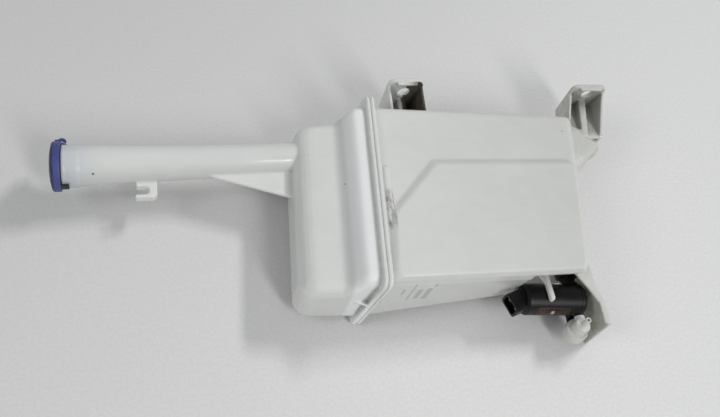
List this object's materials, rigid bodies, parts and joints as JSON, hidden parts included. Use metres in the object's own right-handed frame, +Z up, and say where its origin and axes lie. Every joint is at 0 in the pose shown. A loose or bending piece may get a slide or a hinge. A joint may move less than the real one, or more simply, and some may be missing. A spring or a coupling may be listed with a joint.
{
  "type": "washer fluid reservoir",
  "caption": "Translucent moulded washer fluid tank with a long filler neck, blue flip cap, bolt brackets and a plug-in electric pump with a white valve.",
  "frame": {"origin": "centre of the bounding box on the floor, with the tank lying on its back", "axes": "+X from the filler mouth to the far end, +Y towards the bolt brackets, +Z up from the floor"},
  "size_m": [0.5598, 0.2632, 0.087],
  "materials": {
    "tank_plastic": "satin",
    "cap_blue": "satin",
    "pump_black": "matte",
    "valve_white": "satin",
    "natural_plastic": "satin",
    "rubber": "matte",
    "steel": "satin",
    "ferrite": "matte",
    "copper": "satin",
    "brass": "satin",
    "carbon": "matte"
  },
  "bodies": {
    "tank": {"upper_half": "tank_plastic", "lower_half": "tank_plastic", "pump_grommet": "rubber", "inlet_strainer": "natural_plastic", "motor_case": "pump_black", "connector_cap": "pump_black", "terminals": "brass", "flux_ring": "steel", "magnets": "ferrite", "rear_bush": "brass", "front_bush": "brass", "brushes": "carbon", "brush_arms": "brass", "shaft_seal": "rubber", "pump_cover": "pump_black", "valve_diaphragm": "rubber", "valve_cover": "valve_white"},
    "cap": {"filler_cap": "cap_blue"},
    "rotor": {"motor_shaft": "steel", "armature_core": "steel", "windings": "copper", "commutator": "copper", "impeller": "natural_plastic"}
  },
  "joints": [
    {"name": "cap_flip", "type": "hinge", "parent": "tank", "child": "cap", "pos_m": [-0.2696, 0.08316, 0.04202], "axis": [0, 0, -1], "range_deg": [0, 110]},
    {"name": "rotor_spin", "type": "hinge", "parent": "tank", "child": "rotor", "pos_m": [0.1834, -0.09544, 0.038], "axis": [0.9969, -0.0785, 0], "continuous": true}
  ]
}
